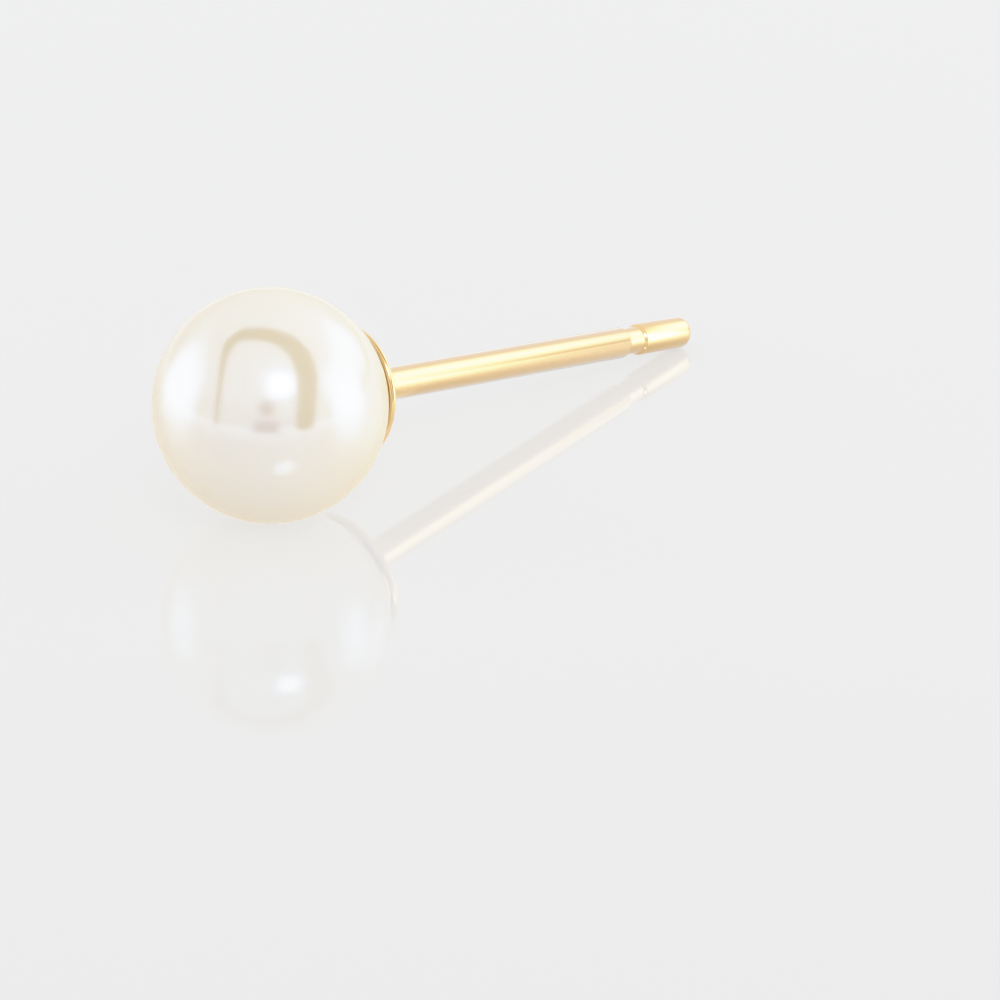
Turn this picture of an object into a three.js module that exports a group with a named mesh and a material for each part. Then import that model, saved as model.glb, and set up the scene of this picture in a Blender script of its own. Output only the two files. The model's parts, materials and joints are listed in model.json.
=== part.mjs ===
// A pearl stud earring lying at rest: a half-drilled pearl glued onto a gold cup, peg and post.
// Millimetres, +Z up. The stud lies on z = 0, touching it at the pearl and near the post's tip,
// and the post points along +X. The origin is under the middle of the stud.

import * as THREE from 'three';
import { mergeVertices } from 'three/addons/utils/BufferGeometryUtils.js';

// Pearl
const pearlDiameter = 5.5;
const pearlRadius = pearlDiameter / 2;

// Glue line: the clearance left all round between the pearl and the metal
const glueLine = 0.07;

// Cup, a shallow dish pressed from sheet, which the pearl seats in
const cupWall = 0.16;
const cupHalfAngle = THREE.MathUtils.degToRad(33);
const cupInnerRadius = pearlRadius + glueLine;
const cupOuterRadius = cupInnerRadius + cupWall;

// Peg, the pin in the pearl's hole
const pegDiameter = 0.7;
const pegLength = 2.6;
const pegRadius = pegDiameter / 2;

// Post, the wire that goes through the ear
const wireDiameter = 0.8;
const postLength = 12;
const solderFillet = 0.15;
const tipRounding = 0.25;
const wireRadius = wireDiameter / 2;

// Friction groove round the post, where a clutch would snap on
const grooveFromTip = 2.2;
const grooveWidth = 0.7;
const grooveDepth = 0.06;
const grooveSlope = 0.1;

// Places along the stud's own axis, measured from the pearl's centre towards the tip
const pegEnd = cupInnerRadius - pegLength;
const tipEnd = cupOuterRadius + postLength;
const grooveCentre = tipEnd - grooveFromTip;

// Facets
const turnSegments = 48;
const pearlArcSteps = 24;
const cupArcSteps = 7;
const smallArcSteps = 4;

const pearlMaterial = new THREE.MeshStandardMaterial({ color: 0xebe2d0, roughness: 0.22, metalness: 0 });
const goldMaterial = new THREE.MeshStandardMaterial({ color: 0xdcb468, roughness: 0.15, metalness: 1 });

// Profile points on a circle about (centreRadial, centreAxial).
// The angle is measured from the tip's direction, and turns away from the axis.
function arc(centreRadial, centreAxial, radius, fromAngle, toAngle, steps) {
  const points = [];
  for (let i = 0; i <= steps; i++) {
    const angle = THREE.MathUtils.lerp(fromAngle, toAngle, i / steps);
    points.push(new THREE.Vector2(
      centreRadial + radius * Math.sin(angle),
      centreAxial + radius * Math.cos(angle),
    ));
  }
  return points;
}

// Turns a profile of (distance from the axis, place along it) about the stud's axis, laid along +X.
// The first facet straddles the vertical plane, so the stud lies on a facet and not on an edge.
function turned(profile) {
  const halfFacet = Math.PI / turnSegments;
  const lathe = new THREE.LatheGeometry(profile, turnSegments, halfFacet, 2 * Math.PI);
  lathe.rotateZ(-Math.PI / 2);
  lathe.deleteAttribute('normal');
  lathe.deleteAttribute('uv');
  const solid = mergeVertices(lathe, 1e-5);
  solid.computeVertexNormals();
  return solid;
}

// The pearl, from its front over its widest part to the drilled hole that takes the peg
function pearlGeometry() {
  const holeRadius = pegRadius + glueLine;
  const holeEnd = pegEnd - glueLine;
  const mouthAngle = Math.asin(holeRadius / pearlRadius);
  const skin = arc(0, 0, pearlRadius, Math.PI, mouthAngle, pearlArcSteps);
  skin[0].x = 0; // the front pole lies exactly on the axis
  return turned([
    ...skin,
    new THREE.Vector2(holeRadius, holeEnd),
    new THREE.Vector2(0, holeEnd),
  ]);
}

// The groove's section, a shallow flat-bottomed band with a slope at each side
function grooveProfile() {
  const half = grooveWidth / 2;
  const flatHalf = half - grooveSlope;
  const flatRadius = wireRadius - grooveDepth;
  return [
    new THREE.Vector2(wireRadius, grooveCentre - half),
    new THREE.Vector2(flatRadius, grooveCentre - flatHalf),
    new THREE.Vector2(flatRadius, grooveCentre + flatHalf),
    new THREE.Vector2(wireRadius, grooveCentre + half),
  ];
}

// The fillet of solder between the cup's back and the wire, tangent to both
function filletProfile() {
  const centreRadial = wireRadius + solderFillet;
  const centreAxial = Math.sqrt((cupOuterRadius + solderFillet) ** 2 - centreRadial ** 2);
  const towardsCup = Math.PI + Math.atan2(centreRadial, centreAxial);
  const towardsWire = 1.5 * Math.PI;
  return arc(centreRadial, centreAxial, solderFillet, towardsCup, towardsWire, smallArcSteps);
}

// Peg, cup and post, soldered into one piece of gold
function cupPostGeometry() {
  const pegFootAngle = Math.asin(pegRadius / cupInnerRadius);
  const inside = arc(0, 0, cupInnerRadius, pegFootAngle, cupHalfAngle, cupArcSteps);
  const fillet = filletProfile();
  const filletAngle = Math.atan2(fillet[0].x, fillet[0].y);
  const outside = arc(0, 0, cupOuterRadius, cupHalfAngle, filletAngle, cupArcSteps);
  outside.pop();
  const tip = arc(wireRadius - tipRounding, tipEnd - tipRounding, tipRounding, Math.PI / 2, 0, smallArcSteps);
  return turned([
    new THREE.Vector2(0, pegEnd),
    new THREE.Vector2(pegRadius, pegEnd),
    ...inside,
    ...outside,
    ...fillet,
    ...grooveProfile(),
    ...tip,
    new THREE.Vector2(0, tipEnd),
  ]);
}

// How far the stud tips down so that the wire, where its tip starts to round, comes level with the pearl
function restingTilt() {
  const along = tipEnd - tipRounding;
  return Math.asin(pearlRadius / Math.hypot(along, wireRadius)) - Math.atan2(wireRadius, along);
}

function namedMesh(name, geometry, material) {
  const mesh = new THREE.Mesh(geometry, material);
  mesh.name = name;
  return mesh;
}

function layDown(stud) {
  stud.rotation.y = restingTilt();
  stud.updateMatrixWorld(true);
  const box = new THREE.Box3().setFromObject(stud, true);
  const middle = box.getCenter(new THREE.Vector3());
  stud.position.set(-middle.x, -middle.y, -box.min.z);
}

const stud = new THREE.Group();
stud.add(namedMesh('pearl', pearlGeometry(), pearlMaterial));
stud.add(namedMesh('cup_post', cupPostGeometry(), goldMaterial));
layDown(stud);

const earring = new THREE.Group();
earring.add(stud);
earring.updateMatrixWorld(true);

export default earring;
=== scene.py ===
# A pearl stud earring lying on a glossy pale surface, in soft studio light.
import json
import math

import bmesh
import bpy
from mathutils import Matrix, Vector, noise


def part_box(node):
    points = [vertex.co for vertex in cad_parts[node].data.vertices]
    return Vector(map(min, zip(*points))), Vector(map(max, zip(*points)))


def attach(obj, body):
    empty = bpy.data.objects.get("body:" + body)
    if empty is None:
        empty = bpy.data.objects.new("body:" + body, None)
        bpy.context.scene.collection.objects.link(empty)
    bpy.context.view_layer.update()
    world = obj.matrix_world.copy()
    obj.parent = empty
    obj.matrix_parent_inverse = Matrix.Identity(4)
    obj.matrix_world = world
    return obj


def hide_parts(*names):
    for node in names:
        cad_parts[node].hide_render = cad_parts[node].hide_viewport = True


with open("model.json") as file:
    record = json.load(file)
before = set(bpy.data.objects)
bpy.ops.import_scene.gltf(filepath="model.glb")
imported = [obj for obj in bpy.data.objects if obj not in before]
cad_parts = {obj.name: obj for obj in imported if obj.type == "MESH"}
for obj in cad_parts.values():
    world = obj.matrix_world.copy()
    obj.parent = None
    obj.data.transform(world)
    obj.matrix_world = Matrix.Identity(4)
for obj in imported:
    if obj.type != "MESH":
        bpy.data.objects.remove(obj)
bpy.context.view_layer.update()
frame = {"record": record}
mm = 0.001
shaveTip = 0.004 * mm           # keeps the post's tip inside the part's box
print("frame loaded")


# The stud's own axes: its origin is the pearl's centre, and its Z runs along the post to the tip
tipMount = next(m for m in frame["record"]["mounts"] if m["name"] == "post_tip")
tipPoint = Vector(tipMount["pos_m"])
studAxis = Vector(tipMount["axis"]).normalized()
pearlLow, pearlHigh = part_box("pearl")
pearlCentre = (pearlLow + pearlHigh) / 2
tipDistance = (tipPoint - pearlCentre).dot(studAxis) - shaveTip
studPlace = Matrix.Translation(pearlCentre) @ studAxis.to_track_quat("Z", "Y").to_matrix().to_4x4()


# A node's socket that takes part in Python sums
class Value:
    def __init__(self, tree, socket):
        self.tree = tree
        self.socket = socket

    def sum(self, operation, *others):
        return self.tree.node("ShaderNodeMath", {"operation": operation}, self, *others)

    def __add__(self, other):
        return self.sum("ADD", other)

    def __radd__(self, other):
        return self.sum("ADD", other)

    def __sub__(self, other):
        return self.sum("SUBTRACT", other)

    def __rsub__(self, other):
        return self.tree.node("ShaderNodeMath", {"operation": "SUBTRACT"}, other, self)

    def __mul__(self, other):
        return self.sum("MULTIPLY", other)

    def __rmul__(self, other):
        return self.sum("MULTIPLY", other)


# The nodes of a material or a world
class Finish:
    def __init__(self, owner, outKind="ShaderNodeOutputMaterial"):
        self.owner = owner
        self.owner.use_nodes = True
        self.nodes = self.owner.node_tree.nodes
        self.links = self.owner.node_tree.links
        self.nodes.clear()
        self.out = self.nodes.new(outKind)

    # Adds a node: its settings are set first, then its inputs, by order or by name
    def node(self, kind, settings, *inputs, output=0, **named):
        made = self.nodes.new(kind)
        for key, setting in settings.items():
            setattr(made, key, setting)
        pairs = list(enumerate(inputs)) + list(named.items())
        for key, given in pairs:
            if isinstance(key, str):
                key = key.replace("_", " ")
            if isinstance(given, Value):
                self.links.new(given.socket, made.inputs[key])
            else:
                made.inputs[key].default_value = given
        return Value(self, made.outputs[output])

    def finish(self, shader):
        self.links.new(shader.socket, self.out.inputs["Surface"])
        return self.owner


# An arc of points; its angles are measured from the post's direction, turning away from the axis
def arcProfile(centreRadial, centreAlong, radius, fromAngle, toAngle, steps):
    points = []
    for i in range(steps + 1):
        angle = fromAngle + (toAngle - fromAngle) * i / steps
        points.append(Vector((centreRadial + radius * math.sin(angle), 0,
                              centreAlong + radius * math.cos(angle))))
    return points


# A closed shell, turned about Z from a profile that starts and ends on the axis
def turnedPiece(name, profile, turnSteps):
    bm = bmesh.new()
    rim = [bm.verts.new(point) for point in profile]
    edges = [bm.edges.new(pair) for pair in zip(rim, rim[1:])]
    bmesh.ops.spin(bm, geom=rim + edges, cent=(0, 0, 0), axis=(0, 0, 1),
                   angle=2 * math.pi, steps=turnSteps, use_merge=True)
    bmesh.ops.remove_doubles(bm, verts=bm.verts, dist=1e-7)
    bmesh.ops.recalc_face_normals(bm, faces=bm.faces)
    mesh = bpy.data.meshes.new(name)
    piece = bpy.data.objects.new(name, mesh)
    bpy.context.scene.collection.objects.link(piece)
    return piece, bm


# Lays a turned piece down where the stud lies, and gives it its finish
def settle(piece, bm, material):
    bmesh.ops.transform(bm, matrix=studPlace, verts=bm.verts)
    bm.to_mesh(piece.data)
    bm.free()
    for face in piece.data.polygons:
        face.use_smooth = True
    piece.data.materials.append(material)
    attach(piece, "root")


# Pearl

pearl = {
    "radius": (pearlHigh.y - pearlLow.y) / 2,
    "holeRadius": 0.42 * mm,
    "holeEnd": 0.15 * mm,
    "turnSteps": 160,
    "arcSteps": 100,
    "swell": 0.006 * mm,        # how far the skin strays inward from a true ball
    "swellWidth": 2.2 * mm,
    "skinFrom": 0.98,           # share of the radius beyond which a point is on the skin
    "heartColour": (1.0, 0.77, 0.57, 1),
    # the rim's colour tints the sheen, and is also painted on the rim as warm light
    "sheenAndPaintedRimColour": (1.0, 0.66, 0.25, 1),
    "paintedWarmFrom": 5.2 * mm,     # the rim's painted warm light grows from this height down to the next
    "paintedWarmTo": 1.5 * mm,
    "paintedWarmHigh": 0.25,         # its share above, and below
    "paintedWarmLow": 1.0,
    "cloudColour": (1.0, 0.78, 0.62, 1),
    "cloudScale": 320,          # clouds a few millimetres wide
    "cloudShare": 0.3,
    "skinScale": 7000,
    "skinDepth": 0.002 * mm,
    "skinBump": 0.1,
    "gleamTint": (0.46, 0.66, 1.0, 1),
    "gleamIor": 4.1,
    "roughness": 0.16,
    "depth": (1.0, 0.9, 0.8),
    "depthScale": 3 * mm,
    "sheen": 0.15,
    "coat": 0.3,
    "coatRoughness": 0.1,
}


def pearlMaterial():
    finish = Finish(bpy.data.materials.new("pearlNacre"))
    place = finish.node("ShaderNodeTexCoord", {}, output=3)
    # Painted warm light: the rim takes a warm tone where the skin turns from view, most of it on the lower
    # half, in place of warm bounce light under the pearl
    facing = finish.node("ShaderNodeLayerWeight", {}, 0.5, output=1)
    clouds = finish.node("ShaderNodeTexNoise", {}, place, Scale=pearl["cloudScale"], Detail=3.0)
    skin = finish.node("ShaderNodeTexNoise", {}, place, Scale=pearl["skinScale"], Detail=2.0)
    height = finish.node("ShaderNodeSeparateXYZ", {}, place, output=2)
    paintedWarmBelow = finish.node("ShaderNodeMapRange", {}, height,
                          pearl["paintedWarmFrom"], pearl["paintedWarmTo"],
                          pearl["paintedWarmHigh"], pearl["paintedWarmLow"])
    paintedWarmRim = finish.node("ShaderNodeMix", {"data_type": "RGBA"}, output=2,
                           Factor=facing * paintedWarmBelow, A=pearl["heartColour"], B=pearl["sheenAndPaintedRimColour"])
    colour = finish.node("ShaderNodeMix", {"data_type": "RGBA"}, output=2,
                         Factor=clouds * pearl["cloudShare"], A=paintedWarmRim, B=pearl["cloudColour"])
    grain = finish.node("ShaderNodeBump", {}, Strength=pearl["skinBump"],
                        Distance=pearl["skinDepth"], Height=skin)
    body = finish.node("ShaderNodeBsdfPrincipled", {},
                       Base_Color=colour, Roughness=pearl["roughness"],
                       IOR=pearl["gleamIor"], Specular_Tint=pearl["gleamTint"],
                       Subsurface_Weight=1.0, Subsurface_Radius=pearl["depth"],
                       Subsurface_Scale=pearl["depthScale"],
                       Sheen_Weight=pearl["sheen"], Sheen_Tint=pearl["sheenAndPaintedRimColour"],
                       Coat_Weight=pearl["coat"], Coat_Roughness=pearl["coatRoughness"], Normal=grain)
    return finish.finish(body)


def makePearl():
    mouth = math.asin(pearl["holeRadius"] / pearl["radius"])
    profile = arcProfile(0, 0, pearl["radius"], math.pi, mouth, pearl["arcSteps"])
    profile[0].x = 0
    profile.append(Vector((pearl["holeRadius"], 0, pearl["holeEnd"])))
    profile.append(Vector((0, 0, pearl["holeEnd"])))
    piece, bm = turnedPiece("pearlBall", profile, pearl["turnSteps"])
    for vert in bm.verts:
        if vert.co.length > pearl["skinFrom"] * pearl["radius"]:
            wave = 0.5 + 0.5 * noise.noise(vert.co / pearl["swellWidth"])
            vert.co -= vert.co.normalized() * pearl["swell"] * wave
    settle(piece, bm, pearlMaterial())
    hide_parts("pearl")
    print("pearl made")


makePearl()


# Cup, peg and post, one piece of gold

gold = {
    "glueLine": 0.07 * mm,
    "cupWall": 0.16 * mm,
    "cupHalfAngle": math.radians(33),
    "pearlRadius": 2.75 * mm,
    "pegRadius": 0.35 * mm,
    "pegLength": 2.6 * mm,
    "wireRadius": 0.395 * mm,
    "solderFillet": 0.15 * mm,
    "tipRounding": 0.25 * mm,
    "grooveFromTip": 2.2 * mm,
    "grooveWidth": 0.7 * mm,
    "grooveDepth": 0.06 * mm,
    "grooveSlope": 0.1 * mm,
    "turnSteps": 96,
    "cupSteps": 24,
    "grooveSteps": 40,
    "tipSteps": 12,
    "smallSteps": 10,           # round the rim's edge and the solder
    "colour": (0.83, 0.50, 0.17, 1),
    "roughness": 0.12,
    "roughnessSpread": 0.08,
    "drawnScale": (400, 9000, 9000),    # fine marks, drawn out along the wire
    "markDepth": 0.003 * mm,
    "markBump": 0.1,
    "coatRoughness": 0.08,
    "coatIor": 1.9,
}


def goldMaterial():
    finish = Finish(bpy.data.materials.new("polishedGold"))
    place = finish.node("ShaderNodeTexCoord", {}, output=3)
    level = finish.node("ShaderNodeVectorRotate", {"rotation_type": "Y_AXIS"}, place,
                        Angle=math.asin(studAxis.z))
    drawn = finish.node("ShaderNodeVectorMath", {"operation": "MULTIPLY"}, level, gold["drawnScale"])
    marks = finish.node("ShaderNodeTexNoise", {}, drawn, Scale=1.0, Detail=3.0)
    roughness = gold["roughness"] + (marks - 0.5) * gold["roughnessSpread"]
    grain = finish.node("ShaderNodeBump", {}, Strength=gold["markBump"],
                        Distance=gold["markDepth"], Height=marks)
    return finish.finish(finish.node("ShaderNodeBsdfPrincipled", {},
                                     Base_Color=gold["colour"], Metallic=1.0, Roughness=roughness,
                                     Coat_Weight=1.0, Coat_Roughness=gold["coatRoughness"],
                                     Coat_IOR=gold["coatIor"], Normal=grain))


# The groove's section: flat at the bottom, with smooth slopes
def grooveProfile(centreAlong):
    half = gold["grooveWidth"] / 2
    steps = gold["grooveSteps"]
    points = []
    for i in range(steps + 1):
        along = -half + gold["grooveWidth"] * i / steps
        sunk = min(1, (half - abs(along)) / gold["grooveSlope"])
        depth = gold["grooveDepth"] * sunk * sunk * (3 - 2 * sunk)
        points.append(Vector((gold["wireRadius"] - depth, 0, centreAlong + along)))
    return points


# The solder between the cup's back and the wire, tangent to both
def filletProfile(cupOuter):
    radial = gold["wireRadius"] + gold["solderFillet"]
    along = math.sqrt((cupOuter + gold["solderFillet"]) ** 2 - radial ** 2)
    return arcProfile(radial, along, gold["solderFillet"],
                      math.pi + math.atan2(radial, along), 1.5 * math.pi, gold["smallSteps"])


# The rim's edge, rounded over by half the wall
def rimProfile(cupInner, cupOuter):
    wall = cupOuter - cupInner
    middle = (cupInner + cupOuter) / 2
    centre = Vector((middle * math.sin(gold["cupHalfAngle"]), 0, middle * math.cos(gold["cupHalfAngle"])))
    start = gold["cupHalfAngle"] + math.pi
    return arcProfile(centre.x, centre.z, wall / 2, start, start - math.pi, gold["smallSteps"])


def makeCupPost():
    cupInner = gold["pearlRadius"] + gold["glueLine"]
    cupOuter = cupInner + gold["cupWall"]
    pegEnd = cupInner - gold["pegLength"]
    pegFoot = math.asin(gold["pegRadius"] / cupInner)
    rolled = math.asin(gold["cupWall"] / 2 / cupOuter)
    fillet = filletProfile(cupOuter)
    filletAngle = math.atan2(fillet[0].x, fillet[0].z)
    lastAngle = gold["cupHalfAngle"] - rolled
    tipCentre = tipDistance - gold["tipRounding"]
    profile = [Vector((0, 0, pegEnd)), Vector((gold["pegRadius"], 0, pegEnd))]
    profile += arcProfile(0, 0, cupInner, pegFoot, lastAngle, gold["cupSteps"])
    profile += rimProfile(cupInner, cupOuter)[1:-1]
    profile += arcProfile(0, 0, cupOuter, lastAngle, filletAngle, gold["cupSteps"])[:-1]
    profile += fillet
    profile += grooveProfile(tipDistance - gold["grooveFromTip"])
    profile += arcProfile(gold["wireRadius"] - gold["tipRounding"], tipCentre,
                          gold["tipRounding"], math.pi / 2, 0, gold["tipSteps"])
    profile.append(Vector((0, 0, tipDistance)))
    piece, bm = turnedPiece("goldCupPost", profile, gold["turnSteps"])
    settle(piece, bm, goldMaterial())
    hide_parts("cup_post")
    print("cup and post made")


makeCupPost()


# Camera, set by the photo's view: the optical axis meets the surface at the aim point

camera = {
    "azimuth": math.radians(-47.32),
    "elevation": math.radians(23.64),
    "distance": 95.06 * mm,
    "aimRight": 5.303 * mm,     # from under the pearl's centre, to the camera's right
    "aimAway": 0.825 * mm,      # and away from the camera
    "lens": 145.34,
    "sensor": 36,
    "clipStart": 1 * mm,
    "clipEnd": 3,
}

cameraRight = Vector((math.cos(camera["azimuth"]), math.sin(camera["azimuth"]), 0))
cameraAway = Vector((-math.sin(camera["azimuth"]), math.cos(camera["azimuth"]), 0))
cameraUp = Vector((0, 0, 1))


def makeCamera():
    aim = pearlCentre + camera["aimRight"] * cameraRight + camera["aimAway"] * cameraAway
    aim.z = 0
    back = math.sin(camera["elevation"]) * cameraUp - math.cos(camera["elevation"]) * cameraAway
    made = bpy.data.objects.new("studioCamera", bpy.data.cameras.new("studioCamera"))
    made.data.lens = camera["lens"]
    made.data.sensor_width = camera["sensor"]
    made.data.clip_start = camera["clipStart"]
    made.data.clip_end = camera["clipEnd"]
    made.location = aim + camera["distance"] * back
    made.rotation_mode = "QUATERNION"
    made.rotation_quaternion = (-back).to_track_quat("-Z", "Y")
    bpy.context.scene.collection.objects.link(made)
    bpy.context.scene.camera = made


makeCamera()
print("camera set")


# Surface and studio

studio = {
    "floorSize": 4,             # metres
    "floorColour": (0.12, 0.122, 0.121, 1),
    "floorRoughness": 0.035,
    "floorIor": 1.49,
    "floorGlow": 0.595,
    "nearGlow": (1, 1, 1, 1),
    "farGlow": (0.84, 0.855, 0.85, 1),
    "glowFrom": -10 * mm,       # the surface's glow fades from here, away from the photo's side
    "glowTo": 60 * mm,
    "lowSky": (0.91, 0.915, 0.91, 1),
    "highSky": (1.05, 1.055, 1.05, 1),
    "highSkyFrom": 0.6,         # sine of the elevation
    "cardRoughness": 0.8,
}


def makeFloor():
    bm = bmesh.new()
    bmesh.ops.create_grid(bm, x_segments=1, y_segments=1, size=studio["floorSize"] / 2)
    mesh = bpy.data.meshes.new("studioFloor")
    bm.to_mesh(mesh)
    bm.free()
    floor = bpy.data.objects.new("studioFloor", mesh)
    bpy.context.scene.collection.objects.link(floor)
    finish = Finish(bpy.data.materials.new("glossySurface"))
    place = finish.node("ShaderNodeTexCoord", {}, output=3)
    away = finish.node("ShaderNodeVectorMath", {"operation": "DOT_PRODUCT"}, place, cameraAway, output=1)
    fall = finish.node("ShaderNodeMapRange", {}, away, studio["glowFrom"], studio["glowTo"])
    glow = finish.node("ShaderNodeMix", {"data_type": "RGBA"}, output=2,
                       Factor=fall, A=studio["nearGlow"], B=studio["farGlow"])
    mesh.materials.append(finish.finish(finish.node(
        "ShaderNodeBsdfPrincipled", {}, Base_Color=studio["floorColour"],
        Roughness=studio["floorRoughness"], IOR=studio["floorIor"],
        Emission_Color=glow, Emission_Strength=studio["floorGlow"])))


# A direction from the pearl; azimuth 0 is the photo's side, and it grows to the right of that
def towards(azimuth, elevation):
    turn, lift = math.radians(azimuth), math.radians(elevation)
    flat = math.sin(turn) * cameraRight - math.cos(turn) * cameraAway
    return math.cos(lift) * flat + math.sin(lift) * cameraUp


# Turns a card to face the pearl from a direction, at a distance
def aimCard(bm, direction, distance):
    turn = direction.to_track_quat("Z", "Y").to_matrix().to_4x4()
    place = Matrix.Translation(pearlCentre + direction * distance)
    bmesh.ops.transform(bm, matrix=place @ turn, verts=bm.verts)


# A piece of the studio that the camera doesn't see
def stagePiece(name, bm, material):
    mesh = bpy.data.meshes.new(name)
    bm.to_mesh(mesh)
    bm.free()
    mesh.materials.append(material)
    card = bpy.data.objects.new(name, mesh)
    card.visible_camera = False
    bpy.context.scene.collection.objects.link(card)


# Is 1 for a ray that misses the pearl, so that only the pearl sees the card and the surface doesn't
# mirror it. Position and Incoming give the ray here, and the camera's place has no part in it.
def seenElsewhere(finish):
    place = finish.node("ShaderNodeNewGeometry", {}, output=0)
    incoming = finish.node("ShaderNodeNewGeometry", {}, output=4)
    fromPearl = finish.node("ShaderNodeVectorMath", {"operation": "SUBTRACT"}, place, pearlCentre)
    across = finish.node("ShaderNodeVectorMath", {"operation": "CROSS_PRODUCT"}, fromPearl, incoming)
    miss = finish.node("ShaderNodeVectorMath", {"operation": "LENGTH"}, across, output=1)
    return miss.sum("GREATER_THAN", pearl["radius"])


# A dark card that only the pearl sees
def flagMaterial(name, colour):
    finish = Finish(bpy.data.materials.new(name))
    dark = finish.node("ShaderNodeBsdfPrincipled", {}, Base_Color=colour,
                       Roughness=studio["cardRoughness"])
    clear = finish.node("ShaderNodeBsdfTransparent", {})
    return finish.finish(finish.node("ShaderNodeMixShader", {}, seenElsewhere(finish), dark, clear))


# A softbox is brightest in its middle and fades towards its edges
def makeSoftbox(name, azimuth, elevation, distance, width, height, glow,
                colour=(1, 1, 1, 1), pearlOnly=False):
    finish = Finish(bpy.data.materials.new(name))
    across = finish.node("ShaderNodeUVMap", {})
    u = finish.node("ShaderNodeSeparateXYZ", {}, across, output=0)
    v = finish.node("ShaderNodeSeparateXYZ", {}, across, output=1)
    bright = 1
    for side in (u, v):
        inward = (0.5 - (side - 0.5).sum("ABSOLUTE")) * 2
        bright = bright * finish.node("ShaderNodeMapRange", {"interpolation_type": "SMOOTHERSTEP"}, inward)
    if pearlOnly:
        bright = bright * (1 - seenElsewhere(finish))
    shade = finish.node("ShaderNodeMix", {"data_type": "RGBA"}, output=2,
                        Factor=bright, A=(0, 0, 0, 1), B=colour)
    lit = finish.node("ShaderNodeEmission", {}, shade, glow)
    clear = finish.node("ShaderNodeBsdfTransparent", {})
    material = finish.finish(finish.node("ShaderNodeAddShader", {}, lit, clear))
    bm = bmesh.new()
    bmesh.ops.create_grid(bm, x_segments=1, y_segments=1, size=0.5, calc_uvs=True)
    uvLayer = bm.loops.layers.uv.verify()
    for face in bm.faces:
        for loop in face.loops:
            loop[uvLayer].uv = (loop.vert.co.x + 0.5, loop.vert.co.y + 0.5)
    bmesh.ops.scale(bm, vec=(width, height, 1), verts=bm.verts)
    aimCard(bm, towards(azimuth, elevation), distance)
    stagePiece(name, bm, material)


# Lens and its foot, which the pearl mirrors as a small dim spot

lens = {
    "azimuth": 0,
    "elevation": 19,
    "distance": 104 * mm,
    "radius": 14 * mm,
    "segments": 48,
    "footElevation": 2.2,
    "footDistance": 45 * mm,
    "footWidth": 19 * mm,
    "footHeight": 9.5 * mm,
    "colour": (0.20, 0.17, 0.42, 1),
}


def makeLens():
    barrel = flagMaterial("lensBarrel", lens["colour"])
    bm = bmesh.new()
    bmesh.ops.create_circle(bm, cap_ends=True, segments=lens["segments"], radius=lens["radius"])
    aimCard(bm, towards(lens["azimuth"], lens["elevation"]), lens["distance"])
    stagePiece("lensFront", bm, barrel)
    bm = bmesh.new()
    bmesh.ops.create_grid(bm, x_segments=1, y_segments=1, size=0.5)
    bmesh.ops.scale(bm, vec=(lens["footWidth"], lens["footHeight"], 1), verts=bm.verts)
    aimCard(bm, towards(lens["azimuth"], lens["footElevation"]), lens["footDistance"])
    stagePiece("lensFoot", bm, barrel)


# The dark seam of the light tent, bent over the camera

opening = {
    # azimuth, elevation and width in degrees, along the seam
    "path": [(33.6, -4, 17), (41, 22, 19), (53, 43, 20), (64, 57.6, 20), (74, 70.6, 18),
             (94.5, 85, 16), (248, 78.5, 15), (255, 67, 13), (268, 59, 10), (288, 50, 7),
             (306, 32, 5), (312, 11, 4), (312, -2, 3)],
    "reach": 45 * mm,
    "colour": (0.01, 0.006, 0.003, 1),
    "stepsPerStretch": 6,
}


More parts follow.
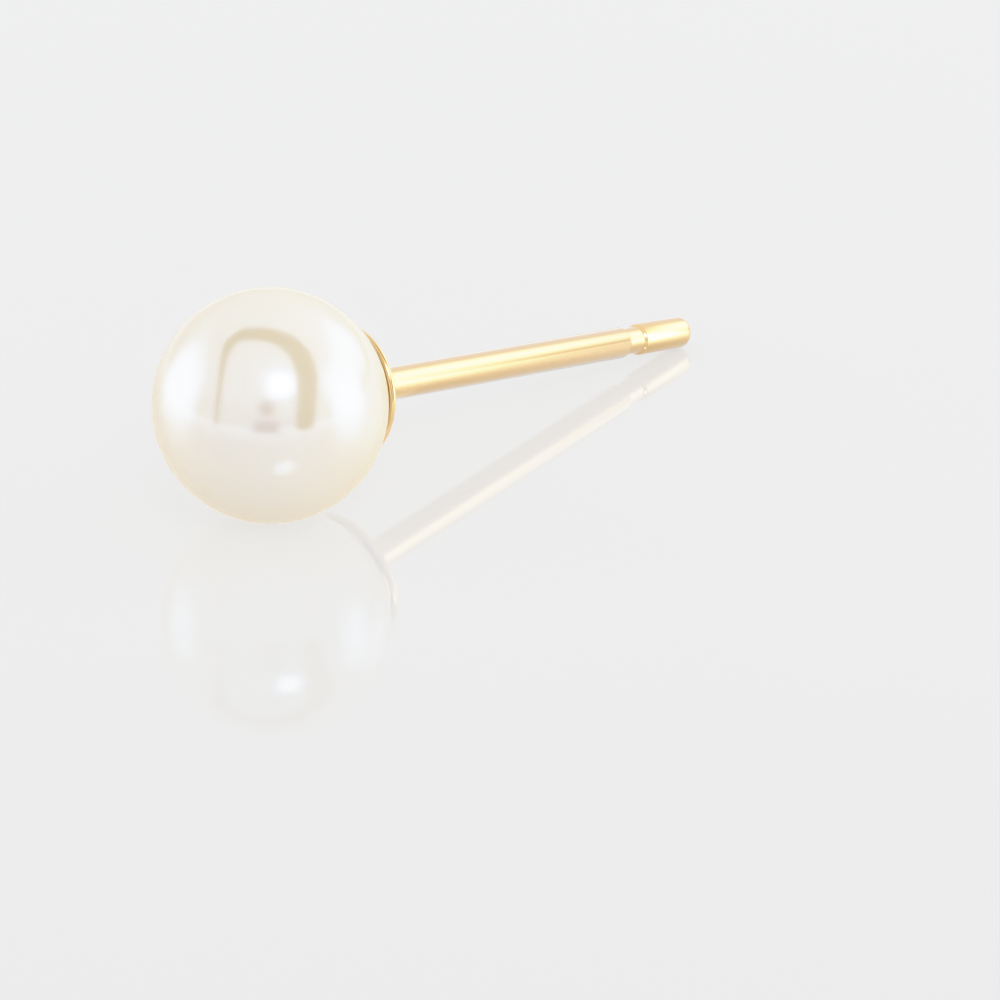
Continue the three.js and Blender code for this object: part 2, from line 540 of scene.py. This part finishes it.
def makeOpening():
    bm = bmesh.new()
    steps = len(opening["path"]) - 1
    bmesh.ops.create_grid(bm, x_segments=steps * opening["stepsPerStretch"], y_segments=2, size=0.5)
    spots = [towards(azimuth, elevation) for azimuth, elevation, width in opening["path"]]
    widths = [width for azimuth, elevation, width in opening["path"]]
    for vert in bm.verts:
        along = (vert.co.x + 0.5) * steps
        first = min(int(along), steps - 1)
        part = along - first
        middle = spots[first].lerp(spots[first + 1], part).normalized()
        side = (spots[first + 1] - spots[first]).cross(middle).normalized()
        wide = widths[first] + (widths[first + 1] - widths[first]) * part
        vert.co = pearlCentre + opening["reach"] * (middle + side * vert.co.y * math.radians(wide))
    stagePiece("tentOpening", bm, flagMaterial("darkCard", opening["colour"]))


def makeWorld():
    finish = Finish(bpy.data.worlds.new("studioWorld"), "ShaderNodeOutputWorld")
    direction = finish.node("ShaderNodeTexCoord", {}, output=3)
    height = finish.node("ShaderNodeSeparateXYZ", {}, direction, output=2)
    rise = finish.node("ShaderNodeMapRange", {"interpolation_type": "SMOOTHSTEP"}, height,
                       0.0, studio["highSkyFrom"])
    colour = finish.node("ShaderNodeMix", {"data_type": "RGBA"}, output=2,
                         Factor=rise, A=studio["lowSky"], B=studio["highSky"])
    bpy.context.scene.world = finish.finish(finish.node("ShaderNodeBackground", {}, colour))


# Softboxes: azimuth and elevation in degrees, distance and size in metres, and glow

softboxes = [
    ("leftSoftbox", -102, 4, 0.3, 0.42, 0.5, 2.6),
    ("rightSoftbox", 87, 8, 0.3, 0.31, 0.44, 3.6),
    ("rightBack", 122, 25, 0.3, 0.38, 0.26, 1.8),
    ("frontSoftbox", 17, 41, 0.32, 0.16, 0.15, 15),
    ("frontHalo", 12, 46, 0.33, 0.30, 0.28, 0.4),
]

# A warm card just above the surface, which lifts the pearl's lower half
bounce = {
    "depth": 2.72 * mm,
    "width": 28 * mm,
    "glow": 0.19,
    "colour": (1, 0.90, 0.64, 1),
}

makeFloor()
makeWorld()
makeOpening()
makeLens()
for softbox in softboxes:
    makeSoftbox(*softbox)
makeSoftbox("underBounce", 0, -90, bounce["depth"], bounce["width"], bounce["width"],
            bounce["glow"], bounce["colour"], True)


# Tone: highlights roll off to white over a soft shoulder, as a camera's do

tone = {
    "whiteLevel": (3, 3, 3),
    "shoulder": [(0.27, 0.81), (0.317, 0.90), (0.367, 0.94), (0.5, 0.975), (0.73, 0.992)],
}


def setTone():
    view = bpy.context.scene.view_settings
    view.view_transform = "Standard"
    view.use_curve_mapping = True
    view.curve_mapping.white_level = tone["whiteLevel"]
    curve = view.curve_mapping.curves[3]
    for place, level in tone["shoulder"]:
        curve.points.new(place, level)
    view.curve_mapping.update()


setTone()
print("studio lit")
